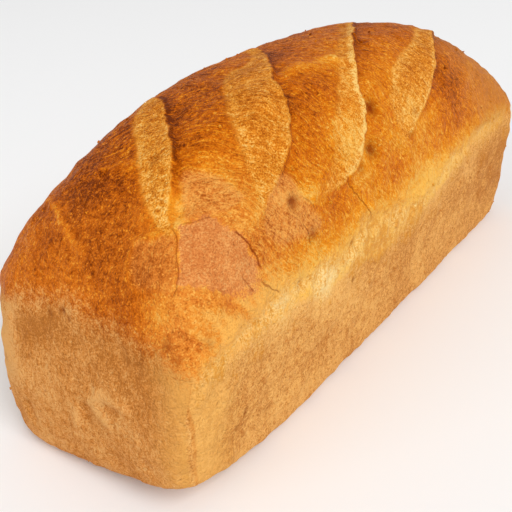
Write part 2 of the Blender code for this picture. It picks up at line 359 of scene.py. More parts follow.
def smooth(value, low, high):
    """0 below low, 1 above high, and 3t^2 - 2t^3 between them."""
    t = np.clip((value - low) / (high - low), 0.0, 1.0)
    return t * t * (3.0 - 2.0 * t)


def curve_through(knots, count=48, closed=False):
    """A Catmull-Rom curve through knots: on each span, half of 2b + (c - a)t + (2a - 5b + 4c - d)t^2
    + (3b - a - 3c + d)t^3, for the four knots a, b, c, d round it."""
    knots = np.asarray(knots, float)
    if closed:
        ring = np.concatenate([knots[-1:], knots, knots[:2]])
    else:
        ring = np.concatenate([2 * knots[:1] - knots[1:2], knots, 2 * knots[-1:] - knots[-2:-1]])
    place = np.linspace(0.0, len(ring) - 3.0, count, endpoint=not closed)
    span = np.minimum(place.astype(int), len(ring) - 4)
    t = (place - span)[:, None]
    a, b, c, d = (ring[span + offset] for offset in range(4))
    cubic = 2 * b + (c - a) * t + (2 * a - 5 * b + 4 * c - d) * t**2 + (3 * b - a - 3 * c + d) * t**3
    return cubic / 2.0


def nearest(flat, line):
    """For each point of the flat sheet: its distance to a line of points, how far along the line that
    is from 0 to 1, and on which side it lies, +1 on the left of the line's direction."""
    best = np.full(len(flat), 1e9)
    along = np.zeros(len(flat))
    side = np.ones(len(flat))
    spans = len(line) - 1
    for i in range(spans):
        edge, away = line[i + 1] - line[i], flat - line[i]
        t = np.clip(away @ edge / max(edge @ edge, 1e-9), 0.0, 1.0)
        distance = np.hypot(*(away - t[:, None] * edge).T)
        closer = distance < best
        best = np.where(closer, distance, best)
        along = np.where(closer, (i + t) / spans, along)
        turned = np.where(edge[0] * away[:, 1] - edge[1] * away[:, 0] < 0.0, -1.0, 1.0)
        side = np.where(closer, turned, side)
    return best, along, side


def inside_of(flat, outline):
    """Whether each flat point lies inside a closed outline: a ray from it crosses an odd number of
    the outline's edges."""
    odd = np.zeros(len(flat), bool)
    for first, second in zip(outline, np.roll(outline, -1, axis=0)):
        spans = (first[1] > flat[:, 1]) != (second[1] > flat[:, 1])
        rise = second[1] - first[1] + 1e-12
        cross_x = first[0] + (flat[:, 1] - first[1]) * (second[0] - first[0]) / rise
        odd ^= spans & (flat[:, 0] < cross_x)
    return odd


# ---------------------------------------------------------------- the loaf's form


def corner_powers(x, y):
    """The powers, along and across, whose oblong |x|^a + |y|^b = 1 has the corner's radius:
    ln 2 times the half size over (1 - sqrt 1/2) r."""
    radius = np.where((x < 0) & (y < 0), SHARP_CORNER, SOFT_CORNER)
    deficit = (1.0 - 0.5**0.5) * radius
    return np.log(2.0) * HALF_LENGTH / deficit, np.log(2.0) * HALF_WIDTH / deficit


def contour(part_x, part_y, power_x, power_y):
    """The size s at which (part_x / s)^power_x + (part_y / s)^power_y = 1, found by halving."""
    low = np.full(part_x.shape, 1e-6)
    high = np.full(part_x.shape, 2.5)
    for _ in range(34):
        middle = (low + high) / 2
        outside = (part_x / middle) ** power_x(middle) + (part_y / middle) ** power_y(middle) > 1.0
        low = np.where(outside, middle, low)
        high = np.where(outside, high, middle)
    return (low + high) / 2


def rounded_plan(u, v):
    """Moves a point of the unit square onto the rim's rounded oblong."""
    reach = np.maximum(np.maximum(np.abs(u), np.abs(v)), 1e-9)
    power_x, power_y = corner_powers(u, v)
    size = contour(np.abs(u) / reach, np.abs(v) / reach, lambda _: power_x, lambda _: power_y)
    return u / size * HALF_LENGTH, v / size * HALF_WIDTH


def dome_level(x, y):
    """0 on the crest and 1 at the rim. With p = |x/a|^2.9 and q = |y/b|^2.8, its contours are the
    oblongs (p/s)^m + (q/s)^n = 1, whose powers m and n grow with s^4 from the crest's squareness."""
    power_x, power_y = corner_powers(x, y)
    more_x = power_x / ALONG_POWER - CREST_SQUARENESS
    more_y = power_y / ACROSS_POWER - CREST_SQUARENESS
    return contour(
        np.abs(x / HALF_LENGTH) ** ALONG_POWER,
        np.abs(y / HALF_WIDTH) ** ACROSS_POWER,
        lambda size: CREST_SQUARENESS + more_x * np.minimum(size, 1.0) ** SQUARENESS_GROWTH,
        lambda size: CREST_SQUARENESS + more_y * np.minimum(size, 1.0) ** SQUARENESS_GROWTH,
    )


def corner_lift(x, y):
    """How far the base stands clear of the ground: at each corner, its lift times (1 - d)^2, where d
    is the distance from the corner as a part of the lift's reach."""
    lift = np.zeros_like(x)
    for end in (-1, 1):
        for side in (-1, 1):
            highest = SHARP_CORNER_LIFT if end < 0 and side < 0 else SOFT_CORNER_LIFT
            away = np.hypot(
                (x - end * HALF_LENGTH) / LIFT_REACH_ALONG, (y - side * HALF_WIDTH) / LIFT_REACH_ACROSS
            )
            lift += highest * np.clip(1.0 - away, 0.0, 1.0) ** 2
    return lift


def dome_height(x, y):
    """Wall height + rise (1 - level)^(1 / fullness), leaning a little to the near end and side."""
    fall = np.clip(1.0 - dome_level(x, y), 0.0, 1.0) ** (1.0 / FULLNESS)
    part_x, part_y = x / HALF_LENGTH, y / HALF_WIDTH
    lean = 1.0 - TALLER_AT_NEAR_END * part_x - TALLER_AT_NEAR_SIDE * part_y
    lean -= LOWER_AT_BOTH_ENDS * (part_x**2 - 0.3)
    return WALL_HEIGHT + DOME_RISE * fall * lean


def wall_points(u, v, height_part):
    """Points on the walls, with height_part 0 at the base's edge, 1 where the rounding ends and 2 at
    the rim. Below the rim the ends splay or draw in, and bow by belly sin(pi k), k from 0 to 1."""
    turn = np.clip(height_part, 0.0, 1.0) * np.pi / 2
    rise = np.clip(height_part - 1.0, 0.0, 1.0)
    height = BASE_ROUNDING * (1.0 - np.cos(turn)) + (WALL_HEIGHT - BASE_ROUNDING) * rise
    inset = BASE_ROUNDING * (1.0 - np.sin(turn))
    x, y = rounded_plan(u, v)
    below = 1.0 - height / WALL_HEIGHT
    lean = np.where(x < 0, NEAR_END_SPLAY, -FAR_END_DRAFT) * below + END_BELLY * np.sin(np.pi * below)
    lift = corner_lift(x, y) * (1.0 - rise)
    x = x * (1.0 + (lean - inset) / HALF_LENGTH)
    y = y * (1.0 - (SIDE_DRAFT * below + inset) / HALF_WIDTH)
    return np.stack([x, y, height + lift], axis=-1)


def arc_table(points):
    """Length along a line of points, from the first."""
    return np.concatenate([[0.0], np.cumsum(np.linalg.norm(np.diff(points, axis=0), axis=1))])


class Sheet:
    """The dome rolled out flat. One side of the flat sheet is the length along the crest, and the
    other the length across the middle of the loaf."""

    def __init__(self):
        self.turns = np.linspace(-1.0, 1.0, 401)
        y = HALF_WIDTH * np.sin(self.turns * np.pi / 2)
        across = arc_table(np.stack([y, dome_height(0 * y, y)], axis=1))
        self.across = across - np.interp(0.0, self.turns, across)
        bend = np.linspace(-1.0, 1.0, 401)
        self.xs = HALF_LENGTH * np.sin(bend * np.pi / 2)
        along = arc_table(np.stack([self.xs, dome_height(self.xs, 0 * self.xs)], axis=1))
        self.along = along - np.interp(0.0, self.xs, along)

    def flat(self, turn, x):
        """The place of (turn, x) on the flat sheet."""
        along, across = np.interp(x, self.xs, self.along), np.interp(turn, self.turns, self.across)
        return np.stack([along, across], axis=-1)

    def line(self, knots, count=48, closed=False):
        """A smooth line on the flat sheet through knots of (turn, x)."""
        turn, x = np.array(knots, float).T
        return curve_through(self.flat(turn, x), count, closed)


# ---------------------------------------------------------------- the skin's grid


class Skin:
    """The loaf's closed skin: a grid over the dome, rings down the walls, and a coarser grid under the
    base, joined to the last ring by many-sided faces."""

    def __init__(self, along, across, wall_rows, rounding_rows, coarse):
        tu = np.linspace(-1.0, 1.0, along + 1)
        u = tu * (1.2 - 0.2 * np.abs(tu) ** 5)
        v = np.sin(np.linspace(-1.0, 1.0, across + 1) * np.pi / 2)
        grid_u, grid_v = np.meshgrid(u, v, indexing="ij")
        index = np.arange(grid_u.size).reshape(grid_u.shape)
        loop = np.concatenate([index[:-1, 0], index[-1, :-1], index[:0:-1, -1], index[0, :0:-1]])
        rim_u, rim_v = grid_u.ravel()[loop], grid_v.ravel()[loop]
        x, y = rounded_plan(grid_u.ravel(), grid_v.ravel())
        dome = np.stack([x, y, dome_height(x, y)], axis=-1)
        climbs = np.concatenate([
            2.0 - np.arange(1, wall_rows + 1) / wall_rows,
            1.0 - np.arange(1, rounding_rows + 1) / rounding_rows,
        ])
        rings = [wall_points(rim_u, rim_v, climb) for climb in climbs]
        cu, cv = u[::coarse] * 0.985, v[::coarse] * 0.965
        base_u, base_v = np.meshgrid(cu, cv, indexing="ij")
        base = wall_points(base_u.ravel(), base_v.ravel(), 0.0)
        base[:, 2] = corner_lift(*rounded_plan(base_u.ravel(), base_v.ravel()))
        self.points = np.concatenate([dome] + rings + [base])
        self.is_dome = np.arange(len(self.points)) < len(dome)
        self.is_base = np.arange(len(self.points)) >= len(self.points) - len(base)
        rim_x, rim_y = dome[loop, 0], dome[loop, 1]
        self.plan_x = np.concatenate([x] + [rim_x] * len(climbs) + [base[:, 0]])
        plan_y = np.concatenate([y] + [rim_y] * len(climbs) + [base[:, 1]])
        self.plan_y = plan_y
        self.turn = np.arcsin(np.clip(plan_y / HALF_WIDTH, -1, 1)) * 2 / np.pi
        self.join(index, loop, len(dome), len(climbs), base_u.shape, coarse)

    def join(self, index, loop, dome_count, ring_count, base_shape, coarse):
        """The four-sided faces as one array, and the many-sided ones under the base as a list."""
        top = np.stack([index[:-1, :-1], index[1:, :-1], index[1:, 1:], index[:-1, 1:]], axis=-1)
        below = dome_count + np.arange(ring_count * len(loop)).reshape(ring_count, -1)
        rings = np.vstack([loop[None], below])
        upper, lower = rings[:-1], rings[1:]
        walls = np.stack([lower, np.roll(lower, -1, 1), np.roll(upper, -1, 1), upper], axis=-1)
        base = rings[-1][-1] + 1 + np.arange(base_shape[0] * base_shape[1]).reshape(base_shape)
        under = np.stack([base[:-1, :-1], base[:-1, 1:], base[1:, 1:], base[1:, :-1]], axis=-1)
        inner = np.concatenate([base[:-1, 0], base[-1, :-1], base[:0:-1, -1], base[0, :0:-1]])
        outer = np.append(rings[-1], rings[-1][0])
        strip = [
            [inner[k], inner[(k + 1) % len(inner)]] + list(outer[k * coarse:(k + 1) * coarse + 1][::-1])
            for k in range(len(inner))
        ]
        self.quads = np.concatenate([part.reshape(-1, 4) for part in (top, walls, under)])
        self.strip = strip

    def normals(self, points):
        """The unit normal at each point: the sum of its four-sided faces' own, by area."""
        a, b, c, d = (points[self.quads[:, i]] for i in range(4))
        face = np.cross(c - a, d - b)
        total = np.stack([
            np.bincount(self.quads.ravel(), np.repeat(face[:, axis], 4), len(points)) for axis in range(3)
        ], axis=-1)
        return total / np.maximum(np.linalg.norm(total, axis=1, keepdims=True), 1e-12)


# ---------------------------------------------------------------- what the surface carries


def slash_marks(flat, sheet, marks, crust):
    """Adds each slash: its opened dough swells from the soft border up to a ridge, then drops within
    2 mm into a valley that fills again over about 8 mm. Past the crest it has sunk back a little."""
    rise, drop = crust.ridge_height / MM, crust.valley_depth / MM
    sunk = 1.0 - 0.75 * smooth(marks["turn"], -0.20, 0.10)
    for ridge_knots, border_knots, lift, paler, ridge_highlight in SLASHES:
        ridge, border = sheet.line(ridge_knots), sheet.line(border_knots)
        to_ridge, along, side = nearest(flat, ridge)
        to_border, _, _ = nearest(flat, border)
        inside = inside_of(flat, np.concatenate([ridge, border[::-1]]))
        lens = np.sin(np.pi * np.clip(along, 0.0, 1.0)) ** 0.5
        height = lift * lens * sunk
        climb = (to_border / (to_border + to_ridge + 1e-6)) ** 1.4
        settle = np.exp(-(((to_border - 3.0) / 3.0) ** 2))
        swell = height * (rise * climb - 0.4 * settle)
        beyond = (side > 0) & ~inside
        fallen = smooth(to_ridge, 0.0, 2.0)
        valley = np.exp(-((np.maximum(to_ridge - 2.0, 0.0) / 6.0) ** 2))
        fade = smooth(along, 0.0, 0.06) * smooth(1.0 - along, 0.0, 0.04)
        fall = height * (rise * (1.0 - fallen) - drop * fallen * valley * fade)
        lip = 0.35 * height * np.exp(-((to_border / 2.5) ** 2))
        marks["relief"] += np.where(inside, swell, np.where(beyond, fall, lip))
        soft = to_border / 1.7
        nearest_edge = np.minimum(to_ridge, soft)
        nearer = np.where(inside, nearest_edge, -np.where(side > 0, to_ridge, nearest_edge))
        closer = nearer > marks["opening"]
        marks["opening"] = np.where(closer, nearer, marks["opening"])
        marks["paleness"] = np.where(closer, paler, marks["paleness"])
        # Deeper browning and painted shade: the valley mark darkens a narrow band beyond each ridge.
        shade = 0.85 * np.exp(-((to_ridge / 2.6) ** 2)) + 0.22 * np.exp(-((to_ridge / 8.0) ** 2))
        marks["valley"] = np.maximum(marks["valley"], np.where(beyond, lens * fade * shade, 0.0))
        # The pale line along each ridge is partly paler dough and partly a painted highlight; the one along
        # the border is paler dough.
        along_ridge = ridge_highlight * np.exp(-((to_ridge / (1.2 + 0.8 * ridge_highlight)) ** 2))
        along_border = 0.45 * paler * np.exp(-(((to_border - 1.6) / 2.6) ** 2))
        shine = np.maximum(along_ridge, along_border)
        marks["lip"] = np.maximum(marks["lip"], np.where(inside, lens * shine, 0.0))


def scar_marks(flat, sheet, marks):
    """Each scar is a faint line: raised and paler than the crust round it, or sunk and browner."""
    for knots, width, paler in SCARS:
        distance, along, _ = nearest(flat, sheet.line(knots, 24))
        ends = smooth(along, 0.0, 0.2) * smooth(1.0 - along, 0.0, 0.2)
        line = ends * np.exp(-((distance / width) ** 2))
        marks["relief"] += (0.7 if paler > 0.0 else -0.5) * line
        marks["heat"] -= paler * line


def patch_marks(flat, sheet, marks, crust):
    """Sinks the peeled patch inside its torn edge, and lifts the crust's edge round it."""
    outline = sheet.line(PEELED_PATCH, 110, closed=True)
    distance, _, _ = nearest(flat, np.concatenate([outline, outline[:1]]))
    signed = np.where(inside_of(flat, outline), distance, -distance)
    torn = smooth(marks["turn"], -0.83, -0.74)
    marks["patch"] = signed * (0.25 + 0.75 * torn)
    deep = crust.peel_depth / MM
    marks["relief"] -= deep * torn * smooth(signed, -0.6, 0.9)
    marks["relief"] += 0.6 * deep * torn * np.exp(-(((signed + 1.8) / 1.8) ** 2))


def thin_marks(flat, sheet, marks):
    """Fades each thin part of the skin in over 3 mm across its outline."""
    for knots, strength in THIN_SKINS:
        outline = sheet.line(knots, 60, closed=True)
        distance, _, _ = nearest(flat, np.concatenate([outline, outline[:1]]))
        inside = inside_of(flat, outline)
        shown = strength * smooth(np.where(inside, distance, -distance), -0.8, 2.2)
        marks["thin"] = np.maximum(marks["thin"], shown)


def crack_marks(flat, sheet, marks):
    """Draws each crack as a narrow groove with one lifted lip, and keeps the signed distance to the
    nearest one."""
    for knots, gape in CRACKS:
        distance, along, side = nearest(flat, sheet.line(knots, 24))
        ends = smooth(along, 0.0, 0.12) * smooth(1.0 - along, 0.0, 0.12)
        closer = distance < np.abs(marks["crack_side"])
        marks["crack_side"] = np.where(closer, side * distance, marks["crack_side"])
        show = ends * gape * smooth(3.5 - distance, 0.0, 1.5)
        marks["crack_show"] = np.where(closer, show, marks["crack_show"])
        marks["relief"] -= 0.3 * gape * ends * np.exp(-((distance / 1.2) ** 2))
        marks["relief"] += 0.7 * gape * ends * np.exp(-(((side * distance - 2.0) / 1.5) ** 2))


def pit_marks(distance, radius, depth, darkness, marks):
    """A pit is depth exp(-(d/r)^2) deep with a low rim round it; a blister is the same upwards."""
    away = distance / radius
    bowl = np.exp(-(away**2)) - 0.35 * np.exp(-(((away - 1.5) / 0.5) ** 2))
    marks["relief"] -= depth * bowl
    # Painted shade: the hollow is darkened by its darkness.
    marks["scorch"] = np.maximum(marks["scorch"], darkness * np.exp(-((away / 0.95) ** 2)))


def wall_marks(skin, marks):
    """Pits, pressed folds and uneven browning of the walls. Each wall is a flat sheet of distance along
    it and height."""
    ends = end_share(skin.plan_x, skin.plan_y) > 0.5
    x, y, z = skin.points.T
    for which, along, height, *pit in WALL_PITS:
        far = which.startswith("far")
        on_end = which.endswith("end")
        here = (ends & ((x > 0) == far)) if on_end else (~ends & ((y > 0) == far))
        distance = np.hypot((y if on_end else x) - along, z - height)
        pit_marks(np.where(here, distance, 1e3), *pit, marks)
    flat = np.stack([y, z], axis=-1)
    near_end = ends & (x < 0)
    for knots, width, rise, paler in FOLDS:
        distance, along, _ = nearest(flat, curve_through(knots, 24))
        fades = smooth(along, 0.0, 0.15) * smooth(1.0 - along, 0.0, 0.15)
        line = near_end * np.exp(-((distance / width) ** 2)) * fades
        marks["relief"] += rise * line
        marks["wallheat"] -= paler * line
    for *middle, reach, amount in WALL_HEAT:
        away = np.linalg.norm(skin.points - middle, axis=1) / reach
        marks["wallheat"] += amount * np.exp(-(away**2))


def end_share(x, y):
    """1 on the loaf's ends and 0 on its long sides, changing over 12 mm at the corners."""
    return smooth(np.abs(x) - HALF_LENGTH + (HALF_WIDTH - np.abs(y)), -6.0, 6.0)


def edge_marks(skin, marks):
    """Height of each point above the line where the tin-held wall ends, drawn out on the ends where the
    change is slow, and how far inside the torn ledge it is. The free crust bulges 0.9 mm over the
    ledge, raggedly, and the ledge draws in. Also the distance round from the sharp corner, whose line
    leans towards the long side at the base."""
    x, y, z = skin.points.T
    ends = end_share(skin.plan_x, skin.plan_y)
    on_end = np.interp(y, *zip(*WALL_ON_END))
    wall = np.interp(x, *zip(*WALL_ON_SIDE)) * (1.0 - ends) + on_end * ends
    ledge = np.interp(x, *zip(*LEDGE_ON_SIDE)) * (1.0 - ends) + on_end * ends
    wall = wall + 2.4 * roughness_of(skin.points, 22.0, 3, 41)
    ledge = ledge + 3.6 * roughness_of(skin.points, 15.0, 3, 31) * (1.0 - ends)
    marks["endwall"] = ends
    marks["above"] = (z - wall) / (1.0 + 1.2 * ends)
    marks["ledge"] = np.minimum(0.4 * (z - wall) + 1.2, ledge - z) - 8.0 * ends
    over = z - ledge
    bulge = 0.9 * np.exp(-(((over - 3.0) / 3.5) ** 2)) - 0.5 * np.exp(-(((over + 3.0) / 3.0) ** 2))
    marks["relief"] += bulge * (1.0 - 0.7 * ends)
    shreds = roughness_of(skin.points * (1.0, 1.0, 0.35), 3.4, 2, 61) * (1.0 - ends)
    marks["relief"] += 0.8 * shreds * np.exp(-(((z - (wall + ledge) / 2) / 8.0) ** 2))
    perimeter = np.where(skin.plan_x + HALF_LENGTH > skin.plan_y + HALF_WIDTH,
                         skin.plan_x + HALF_LENGTH, -(skin.plan_y + HALF_WIDTH))
    below = np.clip(WALL_HEIGHT - z, 0.0, WALL_HEIGHT)
    perimeter = perimeter - 5.0 * smooth(below, 0.0, 22.0) - 0.05 * below
    marks["corner"] = np.where((x > 60.0) | (y > 30.0), FAR_OFF, perimeter)


def browning(skin, flat, sheet, marks):
    """How browned the crust is: a profile across the dome, evened out at the ends, where it stays
    brown down to the edge, plus amount exp(-(d/reach)^2) round each place of the uneven heat."""
    across = np.interp(marks["turn"], *zip(*BROWNING))
    x, y = skin.points[:, 0], skin.points[:, 1]
    near_end = smooth(-x, 112.0, 142.0) * smooth(y, -48.0, -22.0)
    far_end = smooth(x, 112.0, 142.0)
    bake = across * (1.0 - near_end) + 0.60 * near_end
    bake = bake * (1.0 - far_end) + 0.55 * far_end
    for turn, place_x, reach, amount in HEAT:
        away = np.hypot(*(flat - sheet.flat(turn, place_x)).T) / reach
        bake = bake + amount * np.exp(-(away**2))
    return np.clip(bake + marks["heat"], 0.0, 1.0)


def lay_of(skin, sheet):
    """Where each point is in the stretched dough, in millimetres: first along the stretch, then across
    it. The stretch runs at right angles to the slashes, and goes on straight down the walls."""
    flat = sheet.flat(skin.turn, skin.plan_x)
    fall = np.maximum(WALL_HEIGHT - skin.points[:, 2], 0.0) * ~skin.is_dome
    ends = end_share(skin.plan_x, skin.plan_y)
    out = np.stack([ends * np.sign(skin.plan_x), (1.0 - ends) * np.sign(skin.plan_y)], axis=-1)
    flat = flat + out * fall[:, None]
    return np.stack([flat @ STRETCH, flat @ CROSS_STRETCH, 0.0 * fall], axis=-1)


def build_marks(skin, sheet, crust):
    """Everything the surface carries at each point: the relief in millimetres and the masks that the
    crust's material reads."""
    points = skin.points
    names = ("relief", "valley", "lip", "scorch", "crack_show", "heat", "wallheat", "thin")
    marks = {name: np.zeros(len(points)) for name in names}
    marks["turn"] = skin.turn
    marks["opening"] = np.full(len(points), -FAR_OFF)
    marks["paleness"] = np.zeros(len(points))
    marks["crack_side"] = np.full(len(points), FAR_OFF)
    marks["patch"] = np.full(len(points), -FAR_OFF)
    flat = sheet.flat(skin.turn, skin.plan_x)
    for size, reach in ((8.0, 0.9), (2.8, 0.75)):
        sway = [roughness_of(points + offset, size, 2, 5) for offset in (0.0, 40.0)]
        flat = flat + reach * np.stack(sway, axis=-1)
    top = np.flatnonzero(skin.is_dome)
    part = {name: values[top] for name, values in marks.items()}
    slash_marks(flat[top], sheet, part, crust)
    scar_marks(flat[top], sheet, part)
    patch_marks(flat[top], sheet, part, crust)
    thin_marks(flat[top], sheet, part)
    crack_marks(flat[top], sheet, part)
    ragged = 0.9 * roughness_of(points[top], 3.4, 2, 71)
    for turn, x, *pit in PITS:
        y = HALF_WIDTH * math.sin(turn * math.pi / 2)
        middle = np.array([x, y, dome_height(np.array([float(x)]), np.array([y]))[0]])
        pit_marks(np.maximum(np.linalg.norm(points[top] - middle, axis=1) + ragged, 0.0), *pit, part)
    part["relief"] *= smooth(points[top, 2], WALL_HEIGHT, WALL_HEIGHT + 6.0)
    for name in marks:
        marks[name][top] = part[name]
    wall_marks(skin, marks)
    edge_marks(skin, marks)
    marks["bake"] = browning(skin, flat, sheet, marks)
    marks["dust"] = 0.45 * smooth(points[:, 0], 50.0, 110.0) * smooth(-points[:, 1], -20.0, 20.0)
    shoulder = smooth(-points[:, 0], 70.0, 115.0) * smooth(-points[:, 1], 20.0, 46.0)
    near_dome = smooth(-points[:, 0], 108.0, 132.0) * smooth(points[:, 2], 62.0, 72.0)
    marks["thin"] = np.maximum(marks["thin"], np.maximum(0.55 * shoulder, 0.15 * near_dome))
    marks["stretch"] = smooth(skin.plan_x, -128.0, -104.0) * smooth(points[:, 2], 60.0, 75.0)
    lump = crust.lump_height / MM
    marks["relief"] += lump * (roughness_of(points, 34.0, 2, 3) + roughness_of(points, 7.5, 2, 17))
    marks["relief"] += 0.26 * roughness_of(points, 2.8, 1, 23)
    marks["relief"][skin.is_base] = np.minimum(marks["relief"][skin.is_base], 0.0)
    marks["lay"] = lay_of(skin, sheet)
    return marks


def rounded_cube():
    """The 26 points and 24 quads of a cube of 2 by 2 by 2 cells, blown up to a ball of radius 1."""
    steps = np.array([-1.0, 0.0, 1.0])
    grid = np.stack(np.meshgrid(steps, steps, steps, indexing="ij"), axis=-1).reshape(-1, 3)
    shell = np.abs(grid).max(axis=1) > 0.5
    number = np.cumsum(shell) - 1
    ball = grid[shell] / np.linalg.norm(grid[shell], axis=1, keepdims=True)
    quads = []
    for axis in range(3):
        across, up = (axis + 1) % 3, (axis + 2) % 3
        stride = 9, 3, 1
        for side in (0, 2):
            for a in (0, 1):
                for b in (0, 1):
                    corners = [(a, b), (a + 1, b), (a + 1, b + 1), (a, b + 1)][:: 1 if side else -1]
                    first = side * stride[axis]
                    quads.append([number[first + p * stride[across] + q * stride[up]] for p, q in corners])
    return ball, np.array(quads)


# ---------------------------------------------------------------- materials


# Settings that many of the crust's nodes share: a fade without corners, and a mix of colours.
SOFTLY = {"interpolation_type": "SMOOTHSTEP"}
IN_COLOUR = {"data_type": "RGBA"}


class CrustNodes:
    """The crust's nodes, with one short method for each kind of surface. Each method takes the colour
    so far and lays its own over it where the marks say, and keeps the shares that later ones need."""

    def __init__(self, tree, look):
        self.put = functools.partial(add, tree)
        self.look = look
        self.marks = {name: self.put("Attribute", out="Fac", attribute_name=name) for name in MARKS}
        self.seen = self.patterns()
        # Flecks that are partly paler dough and partly painted glints.
        self.bright = self.flecks()
        self.drawn = self.streaks()

    def patterns(self):
        """Each of PATTERNS, on the place itself or along the dough's stretch."""
        put = self.put
        place = put("VectorMath", {0: put("TexCoord", out="Object"), "Scale": 1 / MM}, operation="SCALE")
        # The stretch lines waver by about 2 mm, over 14 mm.
        waver = put("TexNoise", {"Vector": place, "Scale": 1 / 14, "Detail": 1.0}, out="Color")
        lay = put("Attribute", out="Vector", attribute_name="lay")
        lay = put("VectorMath", {0: waver, 1: (12.0, 12.0, 0.0), 2: lay}, operation="MULTIPLY_ADD")
        places = {"lay": lay, "place": place}
        seen = {}
        for name, (where, sizes, detail, rough) in PATTERNS.items():
            scale = tuple(1 / size for size in sizes)
            sized = put("Mapping", {"Vector": places[where], "Scale": scale})
            noise = {"Vector": sized, "Scale": 1.0, "Detail": detail, "Roughness": rough}
            seen[name] = put("TexNoise", noise, out="Fac")
        return seen

    def weighed(self, start, **weights):
        """start + the sum of weight (pattern - 0.5) over the named patterns."""
        offset = -0.5 * sum(weights.values())
        total = self.put("Math", {0: start, 1: offset}, operation="ADD")
        for name, weight in weights.items():
            total = self.put("Math", {0: self.seen[name], 1: weight, 2: total}, operation="MULTIPLY_ADD")
        return total

    def tones(self, *names):
        """The named colours, as the stops of a ramp."""
        return [self.look[name] for name in names]

    def flecks(self):
        """Bright fibres where the dough stretched, and bright flecks everywhere: partly paler dough and
        partly painted glints.
        """
        put, seen = self.put, self.seen
        fibre = put("MapRange", {"Value": seen["dash"], "From Min": 0.54, "From Max": 0.66}, **SOFTLY)
        fibre = put("Math", {0: fibre, 1: self.marks["stretch"]}, operation="MULTIPLY")
        fleck = put("MapRange", {"Value": seen["fleck"], "From Min": 0.58, "From Max": 0.70}, **SOFTLY)
        return put("Math", {0: fibre, 1: fleck}, operation="MAXIMUM")

    def streaks(self):
        """Streaks along the stretch, from -0.5 to 0.5."""
        drawn = self.put("Math", {0: self.seen["streak"], 1: 0.5}, operation="SUBTRACT")
        return self.put("Math", {0: drawn, 1: self.marks["stretch"]}, operation="MULTIPLY")

    def free_crust(self):
        """Free crust: uneven along the stretch, darkest in the valleys, where deeper browning and painted
        shade beyond each ridge both darken it, dusty towards the far end and pinker where its skin is thin."""
        put, marks = self.put, self.marks
        uneven = self.weighed(0.0, blotch=0.6, speck=0.85, grain=0.95)
        uneven = put("Math", {0: self.drawn, 1: 0.9, 2: uneven}, operation="MULTIPLY_ADD")
        uneven = put("Math", {0: self.bright, 1: -0.30, 2: uneven}, operation="MULTIPLY_ADD")
        gain = put("Math", {0: marks["bake"], 1: 0.8, 2: 0.4}, operation="MULTIPLY_ADD")
        browned = put("Math", {0: uneven, 1: gain, 2: marks["bake"]}, operation="MULTIPLY_ADD")
        # The valley mark darkens the crust beyond each ridge: partly deeper browning, partly painted shade.
        browned = put("Math", {0: marks["valley"], 1: 0.37, 2: browned}, operation="MULTIPLY_ADD")
        stops = self.tones("crust_gold", "crust_honey", "crust_amber", "crust_brown", "crust_dark")
        tone = put("ValToRGB", {"Fac": browned}, stops)
        tone = put("Mix", {"Factor": marks["dust"], "A": tone, "B": self.look["crust_dusty"]}, **IN_COLOUR)
        rosy = put("Math", {0: marks["bake"], 1: 1.1, 2: uneven}, operation="MULTIPLY_ADD")
        rosy = put("Math", {0: uneven, 1: 0.7, 2: rosy}, operation="MULTIPLY_ADD")
        rosy = put("ValToRGB", {"Fac": rosy}, self.tones("thin_light", "thin_skin", "thin_brown"))
        return put("Mix", {"Factor": marks["thin"], "A": tone, "B": rosy}, **IN_COLOUR)

    def opened_dough(self, tone):
        """Opened dough inside the slashes, palest along its border and, partly as a painted highlight, along
        its ridge.
        """
        put, marks = self.put, self.marks
        opened = self.weighed(marks["opening"], grain=3.0, streak=3.0, speck=2.0)
        self.opened = put("MapRange", {"Value": opened, "From Min": -0.5, "From Max": 1.3}, **SOFTLY)
        inner = self.weighed(0.30, streak=0.9, grain=1.7, speck=0.9, blotch=0.5)
        inner = put("Math", {0: marks["bake"], 1: 0.40, 2: inner}, operation="MULTIPLY_ADD")
        # The lip mark pales the dough along the border and, partly as a painted highlight, along each ridge.
        inner = put("Math", {0: marks["lip"], 1: -0.34, 2: inner}, operation="MULTIPLY_ADD")
        inner = put("Math", {0: self.bright, 1: -0.16, 2: inner}, operation="MULTIPLY_ADD")
        stops = self.tones("opened_pale", "opened_gold", "opened_tan", "opened_brown")
        inner = put("ValToRGB", {"Fac": inner}, stops)
        share = put("Math", {0: marks["paleness"], 1: marks["lip"]}, operation="ADD")
        share = put("Math", {0: share, 1: self.opened}, operation="MULTIPLY", use_clamp=True)
        return put("Mix", {"Factor": share, "A": tone, "B": inner}, **IN_COLOUR)

    def peeled_patch(self, tone):
        """The peeled patch: the smooth, pinker layer under the skin."""
        put = self.put
        peeled = self.weighed(self.marks["patch"], grain=4.0, speck=5.0)
        self.peeled = put("MapRange", {"Value": peeled, "From Min": -0.4, "From Max": 0.8}, **SOFTLY)
        under = self.weighed(0.50, grain=2.0, blotch=1.0, speck=1.0)
        under = put("Math", {0: self.bright, 1: -0.25, 2: under}, operation="MULTIPLY_ADD")
        under = put("ValToRGB", {"Fac": under}, self.tones("peeled_light", "peeled", "peeled_brown"))
        return put("Mix", {"Factor": self.peeled, "A": tone, "B": under}, **IN_COLOUR)

